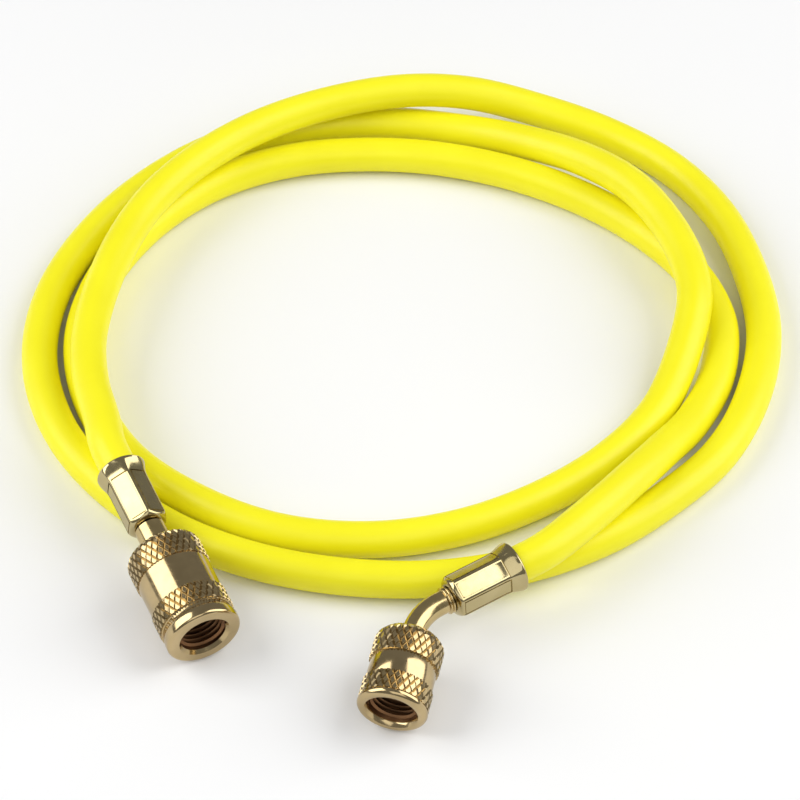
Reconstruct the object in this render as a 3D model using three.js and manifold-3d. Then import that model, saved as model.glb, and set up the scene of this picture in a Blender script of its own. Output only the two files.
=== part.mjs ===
// Refrigerant charging hose with two swivelling knurled flare nuts, lying in a loose coil.
// Millimetres, +Z up, floor at z = 0. Each fitting is built along its own +X axis, which
// starts at the mouth of its ferrule and points away from the hose.

import * as THREE from 'three';
import { mergeVertices } from 'three/addons/utils/BufferGeometryUtils.js';
import Module from 'manifold-3d';

const wasm = await Module();
wasm.setup();

// Clearances between pieces that touch.
const FIT = 0.3;
const SWIVEL_FIT = 0.3;

// Hose: outside and bore, and the squeezed end inside a crimped ferrule.
const HOSE_OD = 9.0;
const HOSE_BORE = 4.8;
const HOSE_CRIMPED_OD = 7.0;
const CRIMP_TAPER = 1.2;
const HOSE_SIDES = 12;
const HOSE_STEPS = 80;
const STRAIGHT_END = 8.0;

// Where each ferrule's mouth lies, how its axis heads over the floor and dips below level.
const STRAIGHT_MOUTH = [-66.5, -34.0, 16.1];
const STRAIGHT_HEADING = -65.2;
const STRAIGHT_DIP = 7.4;
const BENT_MOUTH = [26.8, -62.9, 14.4];
const BENT_HEADING = -148.6;
const BENT_DIP = 3.6;

// How far each ferrule's flats are turned about its axis.
const STRAIGHT_FERRULE_ROLL = 26;
const BENT_FERRULE_ROLL = -30;

// The hose's way from the straight fitting to the bent one, between its straight ends.
const ROUTE = [
  [-72.0, -17.0, 16.8], [-75.5, -3.0, 15.4], [-77.0, 12.0, 14.4], [-75.5, 28.5, 14.1],
  [-71.0, 47.5, 14.2], [-63.5, 65.0, 14.4], [-52.0, 80.5, 14.4], [-37.0, 93.5, 14.3],
  [-19.0, 103.0, 14.1], [0.5, 108.5, 13.8], [18.5, 110.0, 11.8], [37.0, 108.0, 7.6],
  [55.5, 101.0, 5.0], [71.5, 88.0, 4.5], [83.5, 69.0, 4.5], [90.0, 46.0, 4.5],
  [91.5, 24.0, 4.5], [87.0, 2.0, 4.5], [78.0, -17.0, 4.5], [65.5, -31.0, 4.5],
  [49.0, -44.5, 4.5], [30.0, -53.5, 4.5], [9.0, -58.0, 4.5], [-12.5, -57.5, 4.5],
  [-34.0, -52.5, 4.5], [-54.0, -42.5, 4.5], [-71.0, -27.5, 4.5], [-83.5, -8.5, 4.5],
  [-90.0, 15.0, 4.5], [-88.5, 39.0, 4.5], [-79.5, 62.0, 4.5], [-66.5, 80.5, 4.5],
  [-49.0, 95.5, 4.5], [-27.0, 104.0, 4.5], [-4.0, 106.0, 4.5], [17.5, 102.0, 5.2],
  [34.5, 94.0, 8.0], [48.5, 83.0, 11.8], [61.0, 69.0, 14.1], [70.5, 49.5, 14.3],
  [74.0, 31.5, 13.3], [71.0, 15.5, 9.6], [63.5, -2.5, 5.2], [50.5, -19.0, 4.5],
  [34.0, -32.0, 4.5], [14.5, -41.5, 4.5], [-6.5, -45.5, 4.5], [-28.5, -43.0, 4.5],
  [-48.5, -33.5, 4.5], [-65.5, -19.0, 4.5], [-76.0, 0.5, 4.5], [-80.0, 22.0, 4.5],
  [-76.0, 45.0, 4.5], [-64.5, 66.5, 4.5], [-48.5, 82.0, 4.5], [-29.0, 91.0, 4.5],
  [-7.0, 93.5, 4.5], [14.0, 91.0, 4.5], [36.0, 83.0, 4.5], [57.0, 69.0, 4.5],
  [73.0, 50.5, 4.5], [80.5, 30.5, 4.5], [79.0, 10.5, 4.5], [72.0, -6.5, 5.4],
  [63.0, -22.0, 10.2], [54.5, -35.0, 13.6], [45.0, -47.0, 14.8],
];

// Crimped ferrule: a round bell mouth that runs into six flats, each with a shallow window.
const FERRULE_LENGTH = 18.0;
const FERRULE_FLATS = 9.3;
const FERRULE_WALL = 1.3;
const BELL_OD = 12.2;
const BELL_LIP = 0.8;
const BELL_LENGTH = 3.6;
const BELL_SEAT = 2.6;
const PLUG_OVERLAP = 1.2;
const FERRULE_END_ROUND = 1.6;
const FERRULE_END_INSET = 1.7;
const WINDOW_LENGTH = 11.9;
const WINDOW_WIDTH = 4.2;
const WINDOW_DEPTH = 0.15;
const WINDOW_FROM_END = 1.4;

// Stem: barbed tail inside the hose, tube through the ferrule's end wall, head in the nut.
const TAIL_LENGTH = 12.0;
const TAIL_PLAIN = 2.0;
const TAIL_BARBS = 4;
const BARB_HEIGHT = 0.2;
const TUBE_OD = 5.6;
const STEM_BORE = 2.4;
const HEAD_LENGTH = 4.0;
const STRAIGHT_COLLAR_OD = 7.5;
const STRAIGHT_NECK = 7.4;
const BEAD_OD = 6.6;
const BEAD_LENGTH = 1.3;
const BEND_ANGLE = 45;
const BEND_RADIUS = 13.0;
const BEND_ROLL = -9.4;
const FERRULE_TO_CORNER = 8.5;
const CORNER_TO_NUT = 6.5;

// Flare nut thread, 7/16-20: the bore is cut at its minor diameter.
const THREAD_MINOR = 9.9;
const NUT_SEAT_WALL = 3.6;

// Straight fitting's nut: two knurled bands, a waist, a collar and a wide flat-faced rim.
const STRAIGHT_NUT = {
  length: 26.4,
  knurlOd: 18.6,
  waistOd: 17.8,
  bands: [[0.0, 7.7], [16.8, 21.8]],
  shoulder: 2.0,
  backFaceOd: 14.8,
  rimOd: 18.2,
  rimLength: 3.0,
  rimRound: 0.9,
  collarOd: 17.2,
  mouthOd: 12.6,
};

// Bent fitting's nut: two knurled bands, a waist and a rounded rim round a wide mouth.
const BENT_NUT = {
  length: 20.5,
  knurlOd: 16.6,
  waistOd: 15.6,
  bands: [[0.0, 8.0], [13.7, 18.6]],
  shoulder: 2.4,
  backFaceOd: 12.0,
  rimOd: 16.6,
  rimLength: 1.6,
  rimRound: 1.2,
  collarOd: 16.4,
  mouthOd: 12.2,
};

// Seal ring held in each nut on the stem's face, and the valve-core depressor.
const SEAL_THICKNESS = 2.4;
const SEAL_BORE = 4.4;
const PIN_OD = 1.8;
const PIN_REACH = 4.6;
const PIN_BASE_OD = 3.8;
const PIN_BASE_THICKNESS = 0.9;

const NUT_SEGMENTS = 36;
const STEM_SEGMENTS = 20;
const KNURL_STEP = 0.3;

const DEG = Math.PI / 180;

// Solid helpers.
function toSolid(geometry) {
  const bare = geometry.index ? geometry.toNonIndexed() : geometry.clone();
  for (const name of Object.keys(bare.attributes)) {
    if (name !== 'position') bare.deleteAttribute(name);
  }
  const merged = mergeVertices(bare, 1e-4);
  const solid = new wasm.Manifold(new wasm.Mesh({
    numProp: 3,
    vertProperties: new Float32Array(merged.attributes.position.array),
    triVerts: new Uint32Array(merged.index.array),
  }));
  return solid;
}

function toGeometry(solid) {
  const mesh = solid.getMesh();
  const geometry = new THREE.BufferGeometry();
  geometry.setAttribute('position', new THREE.BufferAttribute(mesh.vertProperties, 3));
  geometry.setIndex(new THREE.BufferAttribute(mesh.triVerts, 1));
  geometry.computeVertexNormals();
  return geometry;
}

// A turned solid along +X from a closed outline of [x, radius] points.
function turned(outline, segments) {
  const points = outline.map(([x, r]) => new THREE.Vector2(r, x));
  const onAxis = outline[0][1] === 0 && outline[outline.length - 1][1] === 0;
  if (!onAxis) points.push(points[0].clone());
  const geometry = new THREE.LatheGeometry(points, segments);
  geometry.rotateZ(-Math.PI / 2);
  return geometry;
}

function rod(start, end, diameter, segments) {
  return turned([[start, 0], [start, diameter / 2], [end, diameter / 2], [end, 0]], segments);
}

// A round tube section swept along a curve.
function swept(curve, diameter, sides, steps) {
  const outline = [];
  for (let i = 0; i < sides; i += 1) {
    const a = (2 * Math.PI * i) / sides;
    outline.push(new THREE.Vector2(Math.cos(a) * diameter / 2, Math.sin(a) * diameter / 2));
  }
  const shape = new THREE.Shape(outline);
  return new THREE.ExtrudeGeometry(shape, { steps, extrudePath: curve, bevelEnabled: false });
}

function union(solids) {
  return solids.slice(1).reduce((whole, next) => whole.add(next), solids[0]);
}

// Ferrule.
const ferruleBore = HOSE_CRIMPED_OD + 2 * FIT;
const bellBore = HOSE_OD + 2 * FIT;
const ferruleWallStart = FERRULE_LENGTH - FERRULE_WALL;
const stemHole = TUBE_OD + 2 * FIT;

function ferruleGeometry() {
  const cornerRadius = FERRULE_FLATS / 2 / Math.cos(30 * DEG);
  const hexagon = new THREE.CylinderGeometry(cornerRadius, cornerRadius, FERRULE_LENGTH, 6);
  hexagon.rotateZ(-Math.PI / 2);
  hexagon.rotateX(30 * DEG);
  hexagon.translate(FERRULE_LENGTH / 2, 0, 0);
  const bell = turned([
    [0, 0],
    [0, BELL_OD / 2 - BELL_LIP / 2],
    [BELL_LIP / 2, BELL_OD / 2],
    [BELL_LIP * 1.5, BELL_OD / 2],
    [BELL_LENGTH * 0.6, cornerRadius + 0.25],
    [BELL_LENGTH, cornerRadius - 0.4],
    [BELL_LENGTH + 1.0, FERRULE_FLATS / 2 - FIT],
    [BELL_LENGTH + 1.0, 0],
  ], NUT_SEGMENTS);
  const roundStart = FERRULE_LENGTH - FERRULE_END_ROUND;
  const envelope = turned([
    [-1, 0],
    [-1, BELL_OD],
    [roundStart - 1, BELL_OD],
    [roundStart, cornerRadius - 0.1],
    [roundStart + FERRULE_END_ROUND * 0.55, cornerRadius - 0.5],
    [roundStart + FERRULE_END_ROUND * 0.85, cornerRadius - 1.1],
    [FERRULE_LENGTH, cornerRadius - FERRULE_END_INSET],
    [FERRULE_LENGTH, 0],
  ], NUT_SEGMENTS);
  const inside = turned([
    [-1, 0],
    [-1, bellBore / 2],
    [BELL_SEAT, bellBore / 2],
    [BELL_SEAT + CRIMP_TAPER, ferruleBore / 2],
    [ferruleWallStart, ferruleBore / 2],
    [ferruleWallStart, stemHole / 2],
    [FERRULE_LENGTH + 1, stemHole / 2],
    [FERRULE_LENGTH + 1, 0],
  ], STEM_SEGMENTS);
  let solid = toSolid(hexagon).add(toSolid(bell)).intersect(toSolid(envelope));
  solid = solid.subtract(toSolid(inside));
  const windowMiddle = FERRULE_LENGTH - WINDOW_FROM_END - WINDOW_LENGTH / 2;
  for (let i = 0; i < 6; i += 1) {
    const cut = new THREE.BoxGeometry(WINDOW_LENGTH, WINDOW_WIDTH, 2 * WINDOW_DEPTH);
    cut.translate(windowMiddle, 0, FERRULE_FLATS / 2);
    cut.rotateX(i * 60 * DEG);
    solid = solid.subtract(toSolid(cut));
  }
  return toGeometry(solid);
}

// Hose: one swept length, drawn in to its crimped size inside both ferrules.
const tailStart = ferruleWallStart - FIT - TAIL_LENGTH;
const hoseEnd = ferruleWallStart - FIT;

function fittingFrame(mouth, heading, dip) {
  const group = new THREE.Group();
  group.position.set(...mouth);
  group.rotation.set(0, dip * DEG, heading * DEG, 'ZYX');
  group.updateMatrixWorld(true);
  return group;
}

const straightFrame = fittingFrame(STRAIGHT_MOUTH, STRAIGHT_HEADING, STRAIGHT_DIP);
const bentFrame = fittingFrame(BENT_MOUTH, BENT_HEADING, BENT_DIP);

function hoseEndSolids(frame) {
  const plug = turned([
    [BELL_SEAT - PLUG_OVERLAP, 0],
    [BELL_SEAT - PLUG_OVERLAP, HOSE_OD / 2 - 0.6],
    [BELL_SEAT, HOSE_OD / 2 - 0.4],
    [BELL_SEAT + CRIMP_TAPER, HOSE_CRIMPED_OD / 2],
    [hoseEnd, HOSE_CRIMPED_OD / 2],
    [hoseEnd, 0],
  ], STEM_SEGMENTS);
  const bore = rod(tailStart - FIT, hoseEnd + 1, HOSE_BORE, STEM_SEGMENTS);
  plug.applyMatrix4(frame.matrixWorld);
  bore.applyMatrix4(frame.matrixWorld);
  return { plug: toSolid(plug), bore: toSolid(bore) };
}

function hoseGeometry() {
  const along = (frame, x) => new THREE.Vector3(x, 0, 0).applyMatrix4(frame.matrixWorld);
  const points = [
    along(straightFrame, BELL_SEAT - FIT),
    along(straightFrame, -STRAIGHT_END),
    ...ROUTE.map((p) => new THREE.Vector3(...p)),
    along(bentFrame, -STRAIGHT_END),
    along(bentFrame, BELL_SEAT - FIT),
  ];
  const curve = new THREE.CatmullRomCurve3(points, false, 'centripetal');
  curve.arcLengthDivisions = 2000;
  const length = swept(curve, HOSE_OD, HOSE_SIDES, HOSE_STEPS);
  const first = hoseEndSolids(straightFrame);
  const last = hoseEndSolids(bentFrame);
  let solid = union([toSolid(length), first.plug, last.plug]);
  solid = solid.subtract(first.bore).subtract(last.bore);
  return toGeometry(solid);
}

// Stems. Both share the barbed tail, which stops a clearance short of the hose's end wall.
const tailOd = HOSE_BORE - 2 * FIT - 2 * BARB_HEIGHT;

function tailOutline() {
  const outline = [[tailStart, 0]];
  const pitch = (TAIL_LENGTH - TAIL_PLAIN) / TAIL_BARBS;
  outline.push([tailStart, tailOd / 2]);
  for (let i = 0; i < TAIL_BARBS; i += 1) {
    const x = tailStart + i * pitch;
    outline.push([x + pitch * 0.8, tailOd / 2 + BARB_HEIGHT]);
    outline.push([x + pitch, tailOd / 2]);
  }
  return outline;
}

const headOd = THREAD_MINOR - 2 * SWIVEL_FIT;
const straightNutBack = FERRULE_LENGTH + STRAIGHT_NECK;

function straightStemGeometry() {
  const headStart = straightNutBack + NUT_SEAT_WALL + SWIVEL_FIT;
  const headEnd = headStart + HEAD_LENGTH;
  const body = turned([
    ...tailOutline(),
    [ferruleWallStart - FIT, tailOd / 2],
    [ferruleWallStart - FIT + 0.2, TUBE_OD / 2],
    [FERRULE_LENGTH + FIT, TUBE_OD / 2],
    [FERRULE_LENGTH + FIT, STRAIGHT_COLLAR_OD / 2],
    [straightNutBack - SWIVEL_FIT, STRAIGHT_COLLAR_OD / 2],
    [straightNutBack - SWIVEL_FIT, TUBE_OD / 2],
    [headStart, TUBE_OD / 2],
    [headStart, headOd / 2],
    [headEnd, headOd / 2],
    [headEnd, 0],
  ], STEM_SEGMENTS);
  const bore = rod(tailStart - 1, headEnd - PIN_BASE_THICKNESS - 1, STEM_BORE, STEM_SEGMENTS);
  const socketStart = headEnd - PIN_BASE_THICKNESS - 1.2;
  const socket = rod(socketStart, headEnd + 1, PIN_BASE_OD + 2 * FIT, STEM_SEGMENTS);
  return toGeometry(toSolid(body).subtract(toSolid(bore)).subtract(toSolid(socket)));
}

// The bent stem turns about the fitting's local Z after its roll.
class StemPath extends THREE.Curve {
  constructor(start, cornerX, lead) {
    super();
    this.start = start;
    this.tangent = BEND_RADIUS * Math.tan((BEND_ANGLE * DEG) / 2);
    this.arcStart = cornerX - this.tangent;
    this.arcLength = BEND_RADIUS * BEND_ANGLE * DEG;
    this.lead = lead;
    this.total = this.arcStart - start + this.arcLength + lead;
  }

  getPoint(t, target = new THREE.Vector3()) {
    const s = t * this.total;
    const first = this.arcStart - this.start;
    if (s <= first) return target.set(this.start + s, 0, 0);
    const angle = Math.min((s - first) / BEND_RADIUS, BEND_ANGLE * DEG);
    const x = this.arcStart + BEND_RADIUS * Math.sin(angle);
    const y = BEND_RADIUS * (1 - Math.cos(angle));
    const rest = Math.max(s - first - this.arcLength, 0);
    return target.set(x + rest * Math.cos(angle), y + rest * Math.sin(angle), 0);
  }
}

const bendCorner = FERRULE_LENGTH + FERRULE_TO_CORNER;
const bendTangent = BEND_RADIUS * Math.tan((BEND_ANGLE * DEG) / 2);

// Places a geometry built from the nut's back along +X onto the bent stem's outgoing axis.
function ontoBentAxis(geometry) {
  geometry.translate(CORNER_TO_NUT, 0, 0);
  geometry.rotateZ(BEND_ANGLE * DEG);
  geometry.translate(bendCorner, 0, 0);
  return geometry;
}

function bentStemGeometry() {
  const headStart = NUT_SEAT_WALL + SWIVEL_FIT;
  const headEnd = headStart + HEAD_LENGTH;
  const lead = CORNER_TO_NUT + headStart + HEAD_LENGTH / 2 - bendTangent;
  const tubeStart = ferruleWallStart - FIT;
  const path = new StemPath(tubeStart, bendCorner, lead);
  const tube = toSolid(swept(path, TUBE_OD, STEM_SEGMENTS, 16));
  const tail = toSolid(turned([
    ...tailOutline(),
    [tubeStart + 0.2, tailOd / 2],
    [tubeStart + 0.2, 0],
  ], STEM_SEGMENTS));
  const beadStart = FERRULE_LENGTH + FIT;
  const bead = toSolid(turned([
    [beadStart, 0],
    [beadStart, BEAD_OD / 2],
    [beadStart + BEAD_LENGTH * 0.7, BEAD_OD / 2],
    [beadStart + BEAD_LENGTH, TUBE_OD / 2 - 0.2],
    [beadStart + BEAD_LENGTH, 0],
  ], STEM_SEGMENTS));
  const head = toSolid(ontoBentAxis(rod(headStart, headEnd, headOd, STEM_SEGMENTS)));
  const borePath = new StemPath(tailStart - 1, bendCorner, lead + HEAD_LENGTH);
  const bore = toSolid(swept(borePath, STEM_BORE, HOSE_SIDES, 24));
  return toGeometry(union([tube, tail, bead, head]).subtract(bore));
}

// Nuts, seals and depressor, all built from the nut's back face at x = 0.
const backHole = TUBE_OD + 2 * SWIVEL_FIT;

function nutGeometry(nut) {
  const back = nut.knurlOd / 2;
  const waist = nut.waistOd / 2;
  const rimStart = nut.length - nut.rimLength;
  const outline = [
    [0, backHole / 2],
    [0, nut.backFaceOd / 2],
    [nut.shoulder * 0.35, (nut.backFaceOd / 2 + back) / 2 + 0.35],
    [nut.shoulder, back],
    [nut.bands[0][1], back],
    [nut.bands[0][1] + KNURL_STEP, waist],
    [nut.bands[1][0] - KNURL_STEP, waist],
    [nut.bands[1][0], back],
    [nut.bands[1][1], back],
    [nut.bands[1][1] + KNURL_STEP, nut.collarOd / 2],
    [Math.max(rimStart - 0.4, nut.bands[1][1] + KNURL_STEP + 0.1), nut.collarOd / 2],
    [rimStart + 0.3, nut.rimOd / 2],
    [nut.length - nut.rimRound, nut.rimOd / 2],
    [nut.length - nut.rimRound * 0.3, nut.rimOd / 2 - nut.rimRound * 0.3],
    [nut.length, nut.rimOd / 2 - nut.rimRound],
    [nut.length, nut.mouthOd / 2],
    [nut.length - (nut.mouthOd - THREAD_MINOR) / 2, THREAD_MINOR / 2],
    [NUT_SEAT_WALL, THREAD_MINOR / 2],
    [NUT_SEAT_WALL, backHole / 2],
  ];
  return turned(outline, NUT_SEGMENTS);
}

const sealStart = NUT_SEAT_WALL + SWIVEL_FIT + HEAD_LENGTH + FIT;

function sealGeometry() {
  const outer = headOd / 2;
  const inner = SEAL_BORE / 2;
  const end = sealStart + SEAL_THICKNESS;
  return turned([
    [sealStart, inner],
    [sealStart, outer],
    [end - 0.4, outer],
    [end, outer - 0.4],
    [end, inner],
  ], STEM_SEGMENTS);
}

function depressorGeometry() {
  const seat = sealStart - FIT - PIN_BASE_THICKNESS;
  return turned([
    [seat, 0],
    [seat, PIN_BASE_OD / 2],
    [seat + PIN_BASE_THICKNESS, PIN_BASE_OD / 2],
    [seat + PIN_BASE_THICKNESS, PIN_OD / 2],
    [seat + PIN_REACH - 0.5, PIN_OD / 2],
    [seat + PIN_REACH, PIN_OD / 4],
    [seat + PIN_REACH, 0],
  ], STEM_SEGMENTS);
}

// Materials.
const rubber = new THREE.MeshStandardMaterial({ color: 0xf2ec1e, roughness: 0.45, metalness: 0.0 });
const plated = new THREE.MeshStandardMaterial({ color: 0xc9bd86, roughness: 0.2, metalness: 1.0 });
const brass = new THREE.MeshStandardMaterial({ color: 0xb8935a, roughness: 0.3, metalness: 1.0 });
const black = new THREE.MeshStandardMaterial({ color: 0x1c1c1c, roughness: 0.7, metalness: 0.0 });

function named(name, geometry, material) {
  const mesh = new THREE.Mesh(geometry, material);
  mesh.name = name;
  return mesh;
}

// Assembly.
const root = new THREE.Group();
root.add(named('hose', hoseGeometry(), rubber));

const straight = straightFrame;
const straightFerrule = named('ferrule_straight', ferruleGeometry(), plated);
straightFerrule.rotation.x = STRAIGHT_FERRULE_ROLL * DEG;
straight.add(straightFerrule);
straight.add(named('stem_straight', straightStemGeometry(), brass));
const straightNutPlace = new THREE.Group();
straightNutPlace.position.x = straightNutBack;
straightNutPlace.add(named('nut_straight', nutGeometry(STRAIGHT_NUT), brass));
straightNutPlace.add(named('seal_straight', sealGeometry(), black));
straightNutPlace.add(named('core_depressor', depressorGeometry(), brass));
straight.add(straightNutPlace);
root.add(straight);

const bent = bentFrame;
const bentFerrule = named('ferrule_bent', ferruleGeometry(), plated);
bentFerrule.rotation.x = BENT_FERRULE_ROLL * DEG;
bent.add(bentFerrule);
const bentEnd = new THREE.Group();
bentEnd.rotation.x = BEND_ROLL * DEG;
bentEnd.add(named('stem_bent', bentStemGeometry(), brass));
bentEnd.add(named('nut_bent', ontoBentAxis(nutGeometry(BENT_NUT)), brass));
bentEnd.add(named('seal_bent', ontoBentAxis(sealGeometry()), black));
bent.add(bentEnd);
root.add(bent);

// The origin is on the floor below the middle of the whole outline.
const outlineBox = new THREE.Box3().setFromObject(root, true);
const middle = outlineBox.getCenter(new THREE.Vector3());
root.position.set(-middle.x, -middle.y, -outlineBox.min.z);

export default root;
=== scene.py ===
import math

import bpy
from mathutils import Matrix, Vector


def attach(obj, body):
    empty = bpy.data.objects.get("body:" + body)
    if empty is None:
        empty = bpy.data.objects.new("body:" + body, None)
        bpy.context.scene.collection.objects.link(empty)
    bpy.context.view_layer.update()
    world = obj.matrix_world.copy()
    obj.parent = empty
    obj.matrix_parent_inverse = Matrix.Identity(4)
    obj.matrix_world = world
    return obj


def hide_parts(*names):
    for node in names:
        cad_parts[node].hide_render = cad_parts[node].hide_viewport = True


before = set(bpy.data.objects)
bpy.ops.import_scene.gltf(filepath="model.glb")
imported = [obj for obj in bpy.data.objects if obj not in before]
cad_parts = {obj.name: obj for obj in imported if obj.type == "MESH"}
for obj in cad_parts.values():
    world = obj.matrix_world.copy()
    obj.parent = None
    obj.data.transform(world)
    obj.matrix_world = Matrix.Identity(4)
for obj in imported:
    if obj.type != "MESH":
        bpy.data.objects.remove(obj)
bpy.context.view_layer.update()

# The camera looks down on the coil at 45 degrees from a little under a metre away, through a
# long lens, as in the photograph.
bpy.ops.object.camera_add(
    location=(-0.00077, -0.64129, 0.64240), rotation=(math.radians(45), 0, 0)
)
camera = bpy.context.object
camera.name = camera.data.name = "studio_camera"
camera.data.lens = 164.25
camera.data.sensor_width = 36
bpy.context.scene.camera = camera
bpy.context.scene.view_settings.view_transform = "Standard"


# The hose is one length of smooth yellow rubber hose, 9 mm thick. It leaves the straight
# fitting at the left, runs round nearly three times and goes into the bent fitting, and it is
# squeezed in both ferrules.
HOSE_OD = 0.009
CRIMPED = 7.0 / 9.0
GRAIN_SPAN = (0.35, 0.65)
COIL_MIDDLE = Vector((-0.00076678, -0.00488995, 0.00000228))

STRAIGHT_MOUTH = Vector((-0.0665, -0.0340, 0.0161))
STRAIGHT_HEADING = -65.2
STRAIGHT_DIP = 7.4
BENT_MOUTH = Vector((0.0268, -0.0629, 0.0144))
BENT_HEADING = -148.6
BENT_DIP = 3.6

ROUTE = [
    (-0.0720, -0.0170, 0.0168), (-0.0755, -0.0030, 0.0154), (-0.0770, 0.0120, 0.0144),
    (-0.0755, 0.0285, 0.0141), (-0.0710, 0.0475, 0.0142), (-0.0635, 0.0650, 0.0144),
    (-0.0520, 0.0805, 0.0144), (-0.0370, 0.0935, 0.0143), (-0.0190, 0.1030, 0.0141),
    (0.0005, 0.1085, 0.0138), (0.0185, 0.1100, 0.0118), (0.0370, 0.1080, 0.0076),
    (0.0555, 0.1010, 0.0050), (0.0715, 0.0880, 0.0045), (0.0835, 0.0690, 0.0045),
    (0.0900, 0.0460, 0.0045), (0.0915, 0.0240, 0.0045), (0.0870, 0.0020, 0.0045),
    (0.0780, -0.0170, 0.0045), (0.0655, -0.0310, 0.0045), (0.0490, -0.0445, 0.0045),
    (0.0300, -0.0535, 0.0045), (0.0090, -0.0580, 0.0045), (-0.0125, -0.0575, 0.0045),
    (-0.0340, -0.0525, 0.0045), (-0.0540, -0.0425, 0.0045), (-0.0710, -0.0275, 0.0045),
    (-0.0835, -0.0085, 0.0045), (-0.0900, 0.0150, 0.0045), (-0.0885, 0.0390, 0.0045),
    (-0.0795, 0.0620, 0.0045), (-0.0665, 0.0805, 0.0045), (-0.0490, 0.0955, 0.0045),
    (-0.0270, 0.1040, 0.0045), (-0.0040, 0.1060, 0.0045), (0.0175, 0.1020, 0.0052),
    (0.0345, 0.0940, 0.0080), (0.0485, 0.0830, 0.0118), (0.0610, 0.0690, 0.0141),
    (0.0705, 0.0495, 0.0143), (0.0740, 0.0315, 0.0133), (0.0710, 0.0155, 0.0096),
    (0.0635, -0.0025, 0.0052), (0.0505, -0.0190, 0.0045), (0.0340, -0.0320, 0.0045),
    (0.0145, -0.0415, 0.0045), (-0.0065, -0.0455, 0.0045), (-0.0285, -0.0430, 0.0045),
    (-0.0485, -0.0335, 0.0045), (-0.0655, -0.0190, 0.0045), (-0.0760, 0.0005, 0.0045),
    (-0.0800, 0.0220, 0.0045), (-0.0760, 0.0450, 0.0045), (-0.0645, 0.0665, 0.0045),
    (-0.0485, 0.0820, 0.0045), (-0.0290, 0.0910, 0.0045), (-0.0070, 0.0935, 0.0045),
    (0.0140, 0.0910, 0.0045), (0.0360, 0.0830, 0.0045), (0.0570, 0.0690, 0.0045),
    (0.0730, 0.0505, 0.0045), (0.0805, 0.0305, 0.0045), (0.0790, 0.0105, 0.0045),
    (0.0720, -0.0065, 0.0054), (0.0630, -0.0220, 0.0102), (0.0545, -0.0350, 0.0136),
    (0.0450, -0.0470, 0.0148),
]


def fitting_place(mouth, heading, dip):
    """Where a fitting lies: +X runs along it from its ferrule's mouth, away from the hose."""
    return (
        Matrix.Translation(COIL_MIDDLE + mouth)
        @ Matrix.Rotation(math.radians(heading), 4, "Z")
        @ Matrix.Rotation(math.radians(dip), 4, "Y")
    )


def bezier_handles(points):
    """Handles that bend a curve through the points, tighter where they are closer."""
    row = [2 * points[0] - points[1], *points, 2 * points[-1] - points[-2]]
    before = [points[0]]
    after = []
    for p0, p1, p2, p3 in zip(row, row[1:], row[2:], row[3:]):
        d0, d1, d2 = (math.sqrt((b - a).length) for a, b in ((p0, p1), (p1, p2), (p2, p3)))
        leave = ((p1 - p0) / d0 - (p2 - p0) / (d0 + d1) + (p2 - p1) / d1) * d1
        arrive = ((p2 - p1) / d1 - (p3 - p1) / (d1 + d2) + (p3 - p2) / d2) * d1
        after.append(p1 + leave / 3)
        before.append(p2 - arrive / 3)
    after.append(points[-1])
    return before, after


straight_place = fitting_place(STRAIGHT_MOUTH, STRAIGHT_HEADING, STRAIGHT_DIP)
bent_place = fitting_place(BENT_MOUTH, BENT_HEADING, BENT_DIP)

in_ferrule = [(0.0164, CRIMPED), (0.0100, CRIMPED), (0.0040, CRIMPED), (0.0023, 1.0)]
hose_line = [(straight_place @ Vector((x, 0, 0)), size) for x, size in in_ferrule]
hose_line += [(straight_place @ Vector((-0.008, 0, 0)), 1.0)]
hose_line += [(COIL_MIDDLE + Vector(point), 1.0) for point in ROUTE]
hose_line += [(bent_place @ Vector((-0.008, 0, 0)), 1.0)]
hose_line += [(bent_place @ Vector((x, 0, 0)), size) for x, size in reversed(in_ferrule)]

hose_curve = bpy.data.curves.new("hose_rubber_cover", "CURVE")
hose_curve.dimensions = "3D"
hose_curve.bevel_depth = HOSE_OD / 2
hose_curve.bevel_resolution = 7
hose_curve.resolution_u = 10
hose_curve.use_fill_caps = True
spline = hose_curve.splines.new("BEZIER")
spline.bezier_points.add(len(hose_line) - 1)
before, after = bezier_handles([point for point, size in hose_line])
for knot, (point, size), left, right in zip(spline.bezier_points, hose_line, before, after):
    knot.co = point
    knot.handle_left_type = knot.handle_right_type = "FREE"
    knot.handle_left = left
    knot.handle_right = right
    knot.radius = size
hose = bpy.data.objects.new("hose_rubber_cover", hose_curve)
bpy.context.collection.objects.link(hose)


def grain(tree, where, scale, detail):
    """Noise read at a place."""
    noise = tree.nodes.new("ShaderNodeTexNoise")
    noise.inputs["Scale"].default_value = scale
    noise.inputs["Detail"].default_value = detail
    tree.links.new(where, noise.inputs["Vector"])
    return noise.outputs["Fac"]


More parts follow.
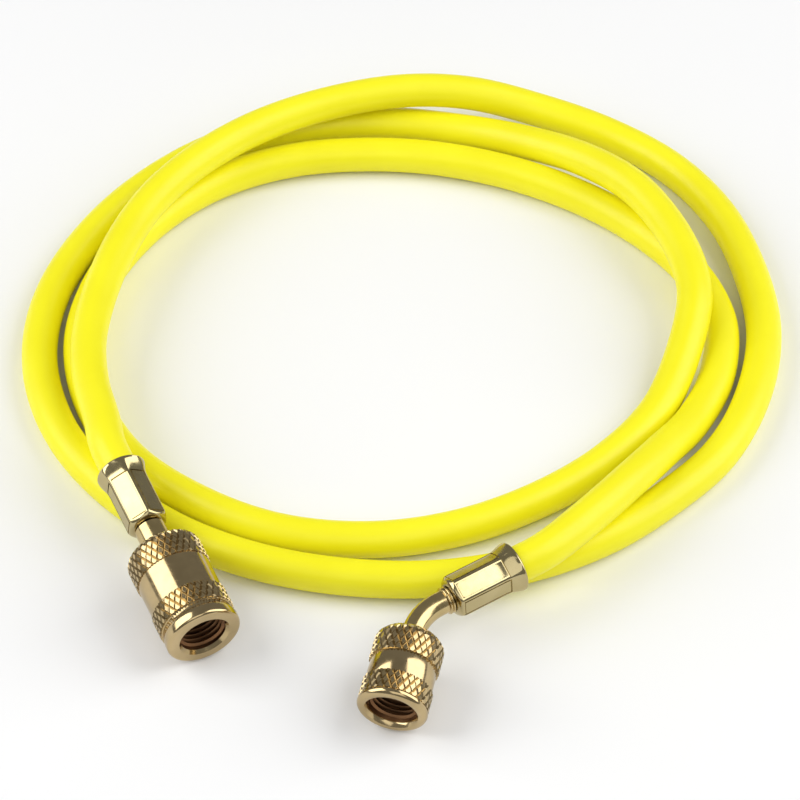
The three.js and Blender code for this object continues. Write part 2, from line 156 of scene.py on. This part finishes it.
def finish_material(name, tint_grain, tints, wear_grain=None, roughness=(), relief=()):
    """A finish whose colour runs between two tints with one grain.

    A second grain sets its roughness, from low to high, and its relief, which is given as
    depth in metres and strength. Each grain is given as scale and detail."""
    material = bpy.data.materials.new(name)
    material.use_nodes = True
    tree = material.node_tree
    shader = tree.nodes["Principled BSDF"]
    where = tree.nodes.new("ShaderNodeTexCoord").outputs["Object"]

    ramp = tree.nodes.new("ShaderNodeValToRGB")
    for element, position, tint in zip(ramp.color_ramp.elements, GRAIN_SPAN, tints):
        element.position = position
        element.color = (*tint, 1)
    tree.links.new(grain(tree, where, *tint_grain), ramp.inputs["Fac"])
    tree.links.new(ramp.outputs["Color"], shader.inputs["Base Color"])
    if not wear_grain:
        return material, shader

    wear = grain(tree, where, *wear_grain)
    span = tree.nodes.new("ShaderNodeMapRange")
    for end, value in zip(("From Min", "From Max", "To Min", "To Max"), GRAIN_SPAN + roughness):
        span.inputs[end].default_value = value
    tree.links.new(wear, span.inputs["Value"])
    tree.links.new(span.outputs["Result"], shader.inputs["Roughness"])
    bump = tree.nodes.new("ShaderNodeBump")
    bump.inputs["Distance"].default_value, bump.inputs["Strength"].default_value = relief
    tree.links.new(wear, bump.inputs["Height"])
    tree.links.new(bump.outputs["Normal"], shader.inputs["Normal"])
    return material, shader


yellow_rubber, shader = finish_material(
    "yellow_rubber",
    (60, 4),
    ((0.93, 0.86, 0.009), (0.96, 0.90, 0.013)),
    (900, 3),
    (0.36, 0.46),
    (0.00002, 0.5),
)
shader.inputs["Specular IOR Level"].default_value = 0.4
hose_curve.materials.append(yellow_rubber)

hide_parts("hose")
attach(hose, "hose_body")


# Each ferrule is a plated brass sleeve: a round bell mouth round the hose, then six flats
# pressed by a crimping die, whose faces leave a shallow rectangle on every flat. The end
# towards the nut is rounded over the stem.
FERRULE_LENGTH = 0.018
FLATS = 0.0093
STEM_HOLE = 0.0062
STRAIGHT_FERRULE_ROLL = 26
BENT_FERRULE_ROLL = -30
FLARE_START = 0.0056
WINDOW_OUTSIDE = (0.0129, 0.0045, 0.0004)
WINDOW_INSIDE = (0.0122, 0.0038, 0.0010)
WINDOW_MIDDLE = 0.0103
FLARE_HEIGHT = 0.0018
SLEEVE_INSIDE = 0.0046
LIP_LENGTH = 0.0008
CORNER_EASE = 0.0001
SAME_PLACE = 0.000001


def start_edit(piece):
    """Opens one piece for editing with nothing selected in it."""
    bpy.ops.object.select_all(action="DESELECT")
    bpy.context.view_layer.objects.active = piece
    piece.select_set(True)
    bpy.ops.object.mode_set(mode="EDIT")
    bpy.ops.mesh.select_mode(type="VERT")
    bpy.ops.mesh.select_all(action="DESELECT")


def end_edit():
    bpy.ops.object.mode_set(mode="OBJECT")


def drawn(name, outline):
    """Draws an outline of (distance along X, radius) as a line of edges, open for editing."""
    bpy.ops.object.select_all(action="DESELECT")
    bpy.ops.mesh.primitive_plane_add(size=0.001)
    piece = bpy.context.object
    piece.name = piece.data.name = name
    start_edit(piece)
    bpy.ops.mesh.select_all(action="SELECT")
    bpy.ops.mesh.merge(type="CENTER")
    bpy.ops.transform.translate(value=(outline[0][0], 0, outline[0][1]))
    for (x0, r0), (x1, r1) in zip(outline, outline[1:]):
        bpy.ops.mesh.extrude_vertices_move(
            TRANSFORM_OT_translate={"value": (x1 - x0, 0, r1 - r0)}
        )
    bpy.ops.mesh.select_all(action="SELECT")
    return piece


def turned(name, outline, sides):
    """A turned piece: its outline spun about X."""
    piece = drawn(name, outline)
    bpy.ops.mesh.spin(steps=sides, angle=2 * math.pi, center=(0, 0, 0), axis=(1, 0, 0))
    bpy.ops.mesh.select_all(action="SELECT")
    bpy.ops.mesh.remove_doubles(threshold=SAME_PLACE)
    bpy.ops.mesh.normals_make_consistent(inside=False)
    end_edit()
    return piece


def use_modifier(piece, kind, **settings):
    """Adds a modifier and applies it at once."""
    modifier = piece.modifiers.new(kind.lower(), kind)
    for key, value in settings.items():
        setattr(modifier, key, value)
    bpy.ops.object.select_all(action="DESELECT")
    bpy.context.view_layer.objects.active = piece
    piece.select_set(True)
    bpy.ops.object.modifier_apply(modifier=modifier.name)


def cut_away(piece, cutter):
    """Cuts one piece out of another and throws the cutter away."""
    use_modifier(piece, "BOOLEAN", operation="DIFFERENCE", solver="EXACT", object=cutter)
    bpy.data.objects.remove(cutter, do_unlink=True)


def put(piece, place, smooth=35):
    """Puts a finished piece in its place, in its mesh, and smooths its shading."""
    piece.matrix_world = place
    bpy.ops.object.select_all(action="DESELECT")
    bpy.context.view_layer.objects.active = piece
    piece.select_set(True)
    bpy.ops.object.transform_apply(location=True, rotation=True, scale=True)
    bpy.ops.object.shade_smooth_by_angle(angle=math.radians(smooth))


def arc(centre, radius, start, stop, steps):
    """Points (x, radius) on an arc of an outline, angles in degrees from +X."""
    turn = [math.radians(start + (stop - start) * i / steps) for i in range(steps + 1)]
    return [
        (centre[0] + radius * math.cos(a), centre[1] + radius * math.sin(a)) for a in turn
    ]


def smaller(a, b, power=36):
    """The smaller of two radii, with a rounded change from one to the other."""
    return (a**-power + b**-power) ** (-1 / power)


def press_flats(sleeve):
    """Presses six flats into a turned sleeve. They flare out and fade into the bell's lip."""
    for vertex in sleeve.data.vertices:
        x = vertex.co.x
        radius = math.hypot(vertex.co.y, vertex.co.z)
        if radius < SLEEVE_INSIDE or x < LIP_LENGTH:
            continue
        turn = math.atan2(vertex.co.y, vertex.co.z)
        off_flat = (turn + math.radians(30)) % math.radians(60) - math.radians(30)
        flare = FLARE_HEIGHT * (max(FLARE_START - x, 0) / FLARE_START) ** 2
        pressed = smaller(radius, (FLATS / 2 + flare) / math.cos(off_flat))
        vertex.co.y *= pressed / radius
        vertex.co.z *= pressed / radius


def cut_window(sleeve, lie):
    """Cuts the fine rectangle that a die's face leaves on one flat."""
    frames = []
    for length, width, height in (WINDOW_OUTSIDE, WINDOW_INSIDE):
        bpy.ops.object.select_all(action="DESELECT")
        bpy.ops.mesh.primitive_cube_add(size=1)
        block = bpy.context.object
        block.matrix_world = (
            lie
            @ Matrix.Translation((WINDOW_MIDDLE, 0, FLATS / 2))
            @ Matrix.Diagonal((length, width, height, 1))
        )
        bpy.ops.object.transform_apply(location=True, rotation=True, scale=True)
        frames.append(block)
    cut_away(*frames)
    cut_away(sleeve, frames[0])


def make_ferrule(name):
    """A sleeve with a bell mouth at x = 0, six flats and a rounded end, along +X."""
    corner = FLATS / 2 / math.cos(math.radians(30)) - CORNER_EASE
    round_end = arc((FERRULE_LENGTH - 0.0021, corner - 0.0021), 0.0021, 90, 12, 9)
    plain = [(0.0052 + 0.0008 * i, corner) for i in range(14)]
    sleeve = turned(
        name,
        [
            (0.0003, 0.00485),
            *arc((0.00055, 0.00560), 0.0005, 250, 90, 8),
            (0.0010, 0.00608),
            (0.0014, 0.00600),
            (0.0019, 0.00588),
            (0.0025, 0.00570),
            (0.0032, 0.00548),
            (0.0038, 0.00534),
            (0.0044, corner + 0.00003),
            *plain,
            *round_end,
            (FERRULE_LENGTH, STEM_HOLE / 2 + 0.0003),
            (FERRULE_LENGTH - 0.0002, STEM_HOLE / 2),
            (FERRULE_LENGTH - 0.0013, STEM_HOLE / 2),
            (FERRULE_LENGTH - 0.0013, 0.0038),
            (0.0039, 0.0038),
            (0.0027, 0.00480),
            (0.0003, 0.00485),
        ],
        120,
    )
    press_flats(sleeve)
    for flat in range(6):
        cut_window(sleeve, Matrix.Rotation(math.radians(60 * flat), 4, "X"))
    return sleeve


plated_brass, shader = finish_material(
    "plated_brass",
    (120, 4),
    ((0.47, 0.39, 0.20), (0.53, 0.445, 0.24)),
    (700, 5),
    (0.10, 0.17),
    (0.000008, 0.35),
)
shader.inputs["Metallic"].default_value = 1.0


def finished(piece, material, body, node):
    """Gives a piece its finish, the body that it moves with and the node it stands for."""
    piece.data.materials.clear()
    piece.data.materials.append(material)
    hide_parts(node)
    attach(piece, body)


ferrule_straight = make_ferrule("ferrule_straight_sleeve")
ferrule_bent = ferrule_straight.copy()
ferrule_bent.data = ferrule_straight.data.copy()
ferrule_bent.name = ferrule_bent.data.name = "ferrule_bent_sleeve"
bpy.context.collection.objects.link(ferrule_bent)
roll = Matrix.Rotation(math.radians(STRAIGHT_FERRULE_ROLL), 4, "X")
put(ferrule_straight, straight_place @ roll)
roll = Matrix.Rotation(math.radians(BENT_FERRULE_ROLL), 4, "X")
put(ferrule_bent, bent_place @ roll)
finished(ferrule_straight, plated_brass, "hose_body", "ferrule_straight")
finished(ferrule_bent, plated_brass, "hose_body", "ferrule_bent")


# The straight stem is turned brass: a barbed tail in the hose, a short round collar that
# shows between ferrule and nut, and a head that the nut turns on.
TUBE_OD = 0.0056
HEAD_OD = 0.0093
STEM_BORE = 0.0024
COLLAR_OD = 0.0075
STRAIGHT_NUT_BACK = FERRULE_LENGTH + 0.0074
HEAD_START = 0.0039
HEAD_END = 0.0079
TAIL_START = 0.0044
TAIL_OD = 0.0038
WALL_START = 0.0167
BARB_PITCH = 0.0025
BARB_RISE = 0.0020
BARB_HEIGHT = 0.0002

tail_outline = [(TAIL_START, STEM_BORE / 2), (TAIL_START, TAIL_OD / 2)]
for barb in range(4):
    x = TAIL_START + barb * BARB_PITCH
    tail_outline += [(x + BARB_RISE, TAIL_OD / 2 + BARB_HEIGHT), (x + BARB_PITCH, TAIL_OD / 2)]
tail_outline += [(WALL_START - 0.0003, TAIL_OD / 2), (WALL_START - 0.0001, TUBE_OD / 2)]

turned_brass, shader = finish_material(
    "turned_brass",
    (140, 4),
    ((0.50, 0.385, 0.18), (0.57, 0.44, 0.215)),
    (650, 5),
    (0.14, 0.22),
    (0.000010, 0.35),
)
shader.inputs["Metallic"].default_value = 1.0

back = STRAIGHT_NUT_BACK
stem_straight = turned(
    "stem_straight_turning",
    [
        *tail_outline,
        (FERRULE_LENGTH + 0.0003, TUBE_OD / 2),
        (FERRULE_LENGTH + 0.0003, COLLAR_OD / 2 - 0.0002),
        (FERRULE_LENGTH + 0.0005, COLLAR_OD / 2),
        (back - 0.0005, COLLAR_OD / 2),
        (back - 0.0003, COLLAR_OD / 2 - 0.0002),
        (back - 0.0003, TUBE_OD / 2),
        (back + HEAD_START, TUBE_OD / 2),
        (back + HEAD_START, HEAD_OD / 2),
        (back + HEAD_END - 0.0003, HEAD_OD / 2),
        (back + HEAD_END, HEAD_OD / 2 - 0.0003),
        (back + HEAD_END, 0.0022),
        (back + HEAD_END - 0.0021, 0.0022),
        (back + HEAD_END - 0.0021, STEM_BORE / 2),
        (TAIL_START, STEM_BORE / 2),
    ],
    64,
)
put(stem_straight, straight_place)
finished(stem_straight, turned_brass, "hose_body", "stem_straight")


# The bent stem is brass tube with a rolled double bead against its ferrule. It bends 45
# degrees and ends in the same head, inside its nut.
BEND_RADIUS = 0.013
BEND_ANGLE = math.radians(45)
BEND_ROLL = -9.4
BEND_CORNER = FERRULE_LENGTH + 0.0085
CORNER_TO_NUT = 0.0065
bend_tangent = BEND_RADIUS * math.tan(BEND_ANGLE / 2)
bend_start = BEND_CORNER - bend_tangent

bent_roll = bent_place @ Matrix.Rotation(math.radians(BEND_ROLL), 4, "X")
bent_nut_place = (
    bent_roll
    @ Matrix.Translation((BEND_CORNER, 0, 0))
    @ Matrix.Rotation(BEND_ANGLE, 4, "Z")
    @ Matrix.Translation((CORNER_TO_NUT, 0, 0))
)


def bent_tube(name, radius, start, end, sides):
    """A ring drawn out along X, spun round the bend and drawn out again."""
    bpy.ops.object.select_all(action="DESELECT")
    bpy.ops.mesh.primitive_circle_add(
        vertices=sides,
        radius=radius,
        location=(start, 0, 0),
        rotation=(0, math.radians(90), 0),
    )
    tube = bpy.context.object
    tube.name = tube.data.name = name
    bpy.ops.object.transform_apply(location=True, rotation=True, scale=True)
    start_edit(tube)
    bpy.ops.mesh.select_all(action="SELECT")
    bpy.ops.mesh.extrude_region_move(
        TRANSFORM_OT_translate={"value": (bend_start - start, 0, 0)}
    )
    bpy.ops.mesh.spin(
        steps=18, angle=BEND_ANGLE, center=(bend_start, BEND_RADIUS, 0), axis=(0, 0, -1)
    )
    along = Vector((math.cos(BEND_ANGLE), math.sin(BEND_ANGLE), 0))
    bpy.ops.mesh.extrude_region_move(TRANSFORM_OT_translate={"value": along * end})
    bpy.ops.mesh.select_all(action="SELECT")
    bpy.ops.mesh.remove_doubles(threshold=SAME_PLACE)
    bpy.ops.mesh.select_all(action="DESELECT")
    bpy.ops.mesh.select_non_manifold()
    bpy.ops.mesh.fill_holes(sides=0)
    bpy.ops.mesh.select_all(action="SELECT")
    bpy.ops.mesh.normals_make_consistent(inside=False)
    end_edit()
    return tube


def joined(name, *pieces):
    """Joins loose pieces of one part into the first."""
    bpy.ops.object.select_all(action="DESELECT")
    for piece in pieces:
        piece.select_set(True)
    bpy.context.view_layer.objects.active = pieces[0]
    bpy.ops.object.join()
    pieces[0].name = pieces[0].data.name = name
    return pieces[0]


after_bend = CORNER_TO_NUT + (HEAD_START + HEAD_END) / 2 - bend_tangent
tube = bent_tube("stem_bent_tube", TUBE_OD / 2, WALL_START - 0.0003, after_bend, 64)
tail = turned("tail", [*tail_outline[1:], (WALL_START + 0.0002, 0), (TAIL_START, 0)], 48)
start_edit(tail)
bpy.ops.mesh.select_all(action="SELECT")
bpy.ops.mesh.remove_doubles(threshold=SAME_PLACE)
end_edit()
bead_start = FERRULE_LENGTH + 0.00005
bead = turned(
    "bead",
    [
        (bead_start, 0.0026),
        (bead_start, 0.0030),
        *arc((bead_start + 0.00035, 0.00305), 0.00035, 170, 10, 8),
        *arc((bead_start + 0.00110, 0.00300), 0.00035, 170, 10, 8),
        (bead_start + 0.0016, 0.0026),
        (bead_start, 0.0026),
    ],
    64,
)
head = turned(
    "head",
    [
        (HEAD_START, 0.0020),
        (HEAD_START, HEAD_OD / 2),
        (HEAD_END - 0.0003, HEAD_OD / 2),
        (HEAD_END, HEAD_OD / 2 - 0.0003),
        (HEAD_END, STEM_BORE / 2),
        (HEAD_END - 0.0025, STEM_BORE / 2),
        (HEAD_END - 0.0025, 0.0020),
        (HEAD_START, 0.0020),
    ],
    64,
)
head.matrix_world = bent_roll.inverted() @ bent_nut_place
stem_bent = joined("stem_bent_tube", tube, tail, bead, head)
put(stem_bent, bent_roll)
finished(stem_bent, turned_brass, "hose_body", "stem_bent")


# Both nuts are turned from brass bar: a rounded back, two bands of diamond knurling with a
# plain waist between, a rim round the mouth, and a 7/16-20 thread cut in the bore.
THREAD_MINOR = 0.0099
THREAD_MAJOR = 0.0111
THREAD_PITCH = 0.00127
BACK_HOLE = 0.0062
SEAT_WALL = 0.0036
KNURL_LENGTH = 0.0032
KNURL_HEIGHT = 0.00040
KNURL_SLOPE = 0.00030
KNURL_OFFSET = 0.0006
KNURL_SKIRT = 0.94
ON_RING = 0.00001
BORE_REACH = 0.0057


def knurled_band(start, stop, root, teeth, shoulder=()):
    """A band of raised diamonds round X, cut off at both ends.

    A cylinder whose squares are crossed and merged into diamonds, each raised within its rim.
    The shoulder is a list of (distance along X, radius) that the band's back rounds down to."""
    cells = math.ceil((stop - start) / KNURL_LENGTH) + 2
    rings = [stop + KNURL_LENGTH * (1 - i) - KNURL_OFFSET for i in range(cells + 1)]
    bpy.ops.object.select_all(action="DESELECT")
    bpy.ops.mesh.primitive_circle_add(
        vertices=teeth, radius=root, location=(rings[0], 0, 0), rotation=(0, math.radians(90), 0)
    )
    band = bpy.context.object
    bpy.ops.object.transform_apply(location=True, rotation=True, scale=True)
    start_edit(band)
    bpy.ops.mesh.select_all(action="SELECT")
    for _ in rings[1:]:
        bpy.ops.mesh.extrude_region_move(
            TRANSFORM_OT_translate={"value": (-KNURL_LENGTH, 0, 0)}
        )
    bpy.ops.mesh.select_all(action="SELECT")
    bpy.ops.mesh.poke()
    bpy.ops.mesh.select_mode(type="EDGE")
    bpy.ops.mesh.select_all(action="DESELECT")
    end_edit()
    for edge in band.data.edges:
        ends = [band.data.vertices[i].co.x for i in edge.vertices]
        on_ring = [min(abs(x - ring) for ring in rings) < ON_RING for x in ends]
        at_end = any(max(abs(x - ring) for x in ends) < ON_RING for ring in (rings[0], rings[-1]))
        edge.select = all(on_ring) and not at_end
    bpy.ops.object.mode_set(mode="EDIT")
    bpy.ops.mesh.dissolve_edges(use_verts=False, use_face_split=False)
    bpy.ops.mesh.select_all(action="SELECT")
    bpy.ops.mesh.normals_make_consistent(inside=False)
    bpy.ops.mesh.inset(use_individual=True, thickness=KNURL_SLOPE, depth=KNURL_HEIGHT)
    for x, _ in shoulder:
        bpy.ops.mesh.select_all(action="SELECT")
        bpy.ops.mesh.bisect(plane_co=(x, 0, 0), plane_no=(1, 0, 0))
    for x, side in ((start, -1), (stop, 1)):
        bpy.ops.mesh.select_all(action="SELECT")
        bpy.ops.mesh.bisect(plane_co=(x, 0, 0), plane_no=(side, 0, 0), clear_outer=True)
    bpy.ops.mesh.select_all(action="DESELECT")
    bpy.ops.mesh.select_non_manifold()
    bpy.ops.mesh.extrude_region_move()
    bpy.ops.transform.resize(value=(1, KNURL_SKIRT, KNURL_SKIRT), center_override=(0, 0, 0))
    end_edit()
    for vertex in band.data.vertices:
        for (x0, r0), (x1, r1) in zip(shoulder, shoulder[1:]):
            if x0 - ON_RING <= vertex.co.x <= x1:
                shrink = (r0 + (r1 - r0) * (vertex.co.x - x0) / (x1 - x0)) / root
                vertex.co.y *= shrink
                vertex.co.z *= shrink
                break
    return band


def thread(name, start, turns):
    """The thread's ridge in a nut's bore: a blunt V wound round X by a screw modifier."""
    wide = THREAD_PITCH * 0.46
    narrow = 0.00012
    foot = THREAD_MAJOR / 2 + 0.0001
    ridge = drawn(
        name,
        [
            (start - wide, foot),
            (start - narrow, THREAD_MINOR / 2),
            (start + narrow, THREAD_MINOR / 2),
            (start + wide, foot),
            (start - wide, foot),
        ],
    )
    bpy.ops.mesh.remove_doubles(threshold=SAME_PLACE)
    end_edit()
    use_modifier(
        ridge,
        "SCREW",
        axis="X",
        screw_offset=THREAD_PITCH,
        iterations=turns,
        steps=56,
        render_steps=56,
        use_merge_vertices=False,
    )
    start_edit(ridge)
    bpy.ops.mesh.select_non_manifold()
    bpy.ops.mesh.fill_holes(sides=0)
    bpy.ops.mesh.select_all(action="SELECT")
    bpy.ops.mesh.normals_make_consistent(inside=False)
    end_edit()
    return ridge


knurled_brass, shader = finish_material(
    "knurled_brass",
    (160, 4),
    ((0.46, 0.35, 0.18), (0.53, 0.405, 0.215)),
    (600, 5),
    (0.11, 0.19),
    (0.000012, 0.35),
)
shader.inputs["Metallic"].default_value = 1.0
# Painted shade: a darker brown brass for the nuts' bores and threads, standing in for the shade
# inside them.
bore_painted_shade, shader = finish_material(
    "bore_painted_shade",
    (160, 4),
    ((0.20, 0.10, 0.045), (0.28, 0.15, 0.07)),
    (160, 4),
    (0.35, 0.45),
    (0.000010, 0.3),
)
shader.inputs["Metallic"].default_value = 1.0


def finished_nut(nut, place, body, node):
    """Puts a nut in its place, with painted shade in its bore: a darker brown brass on the faces
    of the bore and thread.
    """
    inside = [
        math.hypot(vertex.co.y, vertex.co.z) < BORE_REACH and vertex.co.x > SEAT_WALL - ON_RING
        for vertex in nut.data.vertices
    ]
    painted_shade_faces = [all(inside[i] for i in face.vertices) for face in nut.data.polygons]
    put(nut, place, 28)
    finished(nut, knurled_brass, body, node)
    nut.data.materials.append(bore_painted_shade)
    # The faces of the bore and thread get the painted shade.
    nut.data.polygons.foreach_set("material_index", [int(dark) for dark in painted_shade_faces])


# The straight fitting's nut is the longer one, with a collar and a wide flat-faced rim.
length = 0.0264
root = 0.00885
under = root - 0.00010
nut_body = turned(
    "nut_straight_turning",
    [
        (0, BACK_HOLE / 2),
        (0, 0.0072),
        (0.0001, 0.0074),
        (0.0004, 0.0079),
        (0.0010, 0.0085),
        (0.0018, under),
        (0.0077, under),
        (0.0078, 0.0089),
        (0.0167, 0.0089),
        (0.0168, under),
        (0.0218, under),
        (0.0218, 0.0088),
        (0.0220, 0.0086),
        (0.0229, 0.0086),
        (0.0233, 0.0088),
        (0.0237, 0.0090),
        (0.0242, 0.0091),
        *arc((length - 0.0009, 0.0091 - 0.0009), 0.0009, 90, 5, 8),
        (length, 0.0081),
        (length, 0.0063),
        (length - 0.0008, THREAD_MAJOR / 2),
        (SEAT_WALL, THREAD_MAJOR / 2),
        (SEAT_WALL, BACK_HOLE / 2),
        (0, BACK_HOLE / 2),
    ],
    96,
)
shoulder = [
    (0.0002, 0.0076),
    (0.0005, 0.0080),
    (0.0010, 0.00845),
    (0.0016, 0.00875),
    (0.0022, root),
]
nut_straight = joined(
    "nut_straight_turning",
    nut_body,
    knurled_band(0.0002, 0.0077, root, 34, shoulder),
    knurled_band(0.0168, 0.0218, root, 34),
    thread("ridge", 0.0095, 12),
)
straight_nut_place = straight_place @ Matrix.Translation((STRAIGHT_NUT_BACK, 0, 0))
finished_nut(nut_straight, straight_nut_place, "straight_nut", "nut_straight")

# The bent fitting's nut is shorter and slimmer, with a full round rim and a wide mouth.
length = 0.0205
root = 0.00785
under = root - 0.00010
nut_body = turned(
    "nut_bent_turning",
    [
        (0, BACK_HOLE / 2),
        (0, 0.0058),
        (0.0001, 0.0060),
        (0.0005, 0.0066),
        (0.0012, 0.0073),
        (0.0022, under),
        (0.0080, under),
        (0.0081, 0.0078),
        (0.0136, 0.0078),
        (0.0137, under),
        (0.0186, under),
        (0.0186, 0.0080),
        (0.0188, 0.0081),
        *arc((length - 0.0013, 0.0083 - 0.0013), 0.0013, 100, 0, 10),
        (length - 0.0001, 0.0063),
        (length - 0.0006, THREAD_MAJOR / 2 + 0.0003),
        (length - 0.0012, THREAD_MAJOR / 2),
        (SEAT_WALL, THREAD_MAJOR / 2),
        (SEAT_WALL, BACK_HOLE / 2),
        (0, BACK_HOLE / 2),
    ],
    96,
)
shoulder = [
    (0.0002, 0.0062),
    (0.0006, 0.0067),
    (0.0012, 0.0072),
    (0.0019, 0.0077),
    (0.0026, root),
]
nut_bent = joined(
    "nut_bent_turning",
    nut_body,
    knurled_band(0.0002, 0.0080, root, 30, shoulder),
    knurled_band(0.0137, 0.0186, root, 30),
    thread("ridge", 0.0095, 7),
)
finished_nut(nut_bent, bent_nut_place, "bent_nut", "nut_bent")


# In each nut a black seal ring lies on the stem's head, and the straight fitting also holds
# a brass pin that pushes a valve's core open.
SEAL_START = 0.0082

black_rubber, shader = finish_material(
    "black_rubber",
    (500, 4),
    ((0.012, 0.012, 0.013), (0.03, 0.03, 0.03)),
    (500, 4),
    (0.5, 0.65),
    (0.00002, 0.5),
)

seal_outline = [
    (SEAL_START, 0.0024),
    (SEAL_START, 0.0044),
    (SEAL_START + 0.0003, 0.00465),
    *arc((SEAL_START + 0.0018, 0.0041), 0.0005, 80, 10, 5),
    (SEAL_START + 0.0024, 0.0036),
    *arc((SEAL_START + 0.0018, 0.0028), 0.0006, 80, 180, 6),
    (SEAL_START, 0.0024),
]
seal_straight = turned("seal_straight_ring", seal_outline, 48)
seal_bent = turned("seal_bent_ring", seal_outline, 48)
put(seal_straight, straight_nut_place)
put(seal_bent, bent_nut_place)
finished(seal_straight, black_rubber, "hose_body", "seal_straight")
finished(seal_bent, black_rubber, "hose_body", "seal_bent")

pin_seat = SEAL_START - 0.0012
core_depressor = turned(
    "core_depressor_pin",
    [
        (pin_seat, 0),
        (pin_seat, 0.0017),
        (pin_seat + 0.0002, 0.0019),
        (pin_seat + 0.0007, 0.0019),
        (pin_seat + 0.0009, 0.0017),
        (pin_seat + 0.0009, 0.0009),
        (pin_seat + 0.0041, 0.0009),
        (pin_seat + 0.0046, 0.00045),
        (pin_seat + 0.0046, 0),
    ],
    32,
)
start_edit(core_depressor)
bpy.ops.mesh.select_all(action="SELECT")
bpy.ops.mesh.remove_doubles(threshold=SAME_PLACE)
end_edit()
put(core_depressor, straight_nut_place)
finished(core_depressor, turned_brass, "hose_body", "core_depressor")


# The studio: a pale floor, two large soft lights at the left and right and a weaker one in
# front, with darker air between them for the brass to mirror.
bpy.ops.object.select_all(action="DESELECT")
bpy.ops.mesh.primitive_plane_add(size=6, location=(0, 0, 0))
floor = bpy.context.object
floor.name = floor.data.name = "studio_floor"
pale_floor, shader = finish_material("pale_floor", (3, 2), ((0.90,) * 3, (0.92,) * 3))
shader.inputs["Roughness"].default_value = 0.9
floor.data.materials.append(pale_floor)


def softbox(name, place, aim, size, power, colour=(1, 1, 1)):
    """A rectangular soft light aimed at a point."""
    direction = Vector(aim) - Vector(place)
    bpy.ops.object.light_add(
        type="AREA", location=place, rotation=direction.to_track_quat("-Z", "Y").to_euler()
    )
    light = bpy.context.object
    light.name = light.data.name = name
    light.data.shape = "RECTANGLE"
    light.data.size, light.data.size_y = size
    light.data.energy = power
    light.data.color = colour


softbox("left_light", (-0.96, -0.02, 0.71), (0, 0, 0), (0.9, 1.1), 10)
softbox("right_light", (0.95, 0.05, 0.78), (0, 0, 0), (1.0, 1.4), 12)
softbox("front_light", (0.1, -1.0, 1.1), (0, 0, 0), (1.1, 0.9), 3.4)

world = bpy.context.scene.world or bpy.data.worlds.new("studio_air")
bpy.context.scene.world = world
world.use_nodes = True
world.node_tree.nodes["Background"].inputs["Color"].default_value = (0.86, 0.86, 0.86, 1)
world.node_tree.nodes["Background"].inputs["Strength"].default_value = 0.30

bpy.context.view_layer.update()
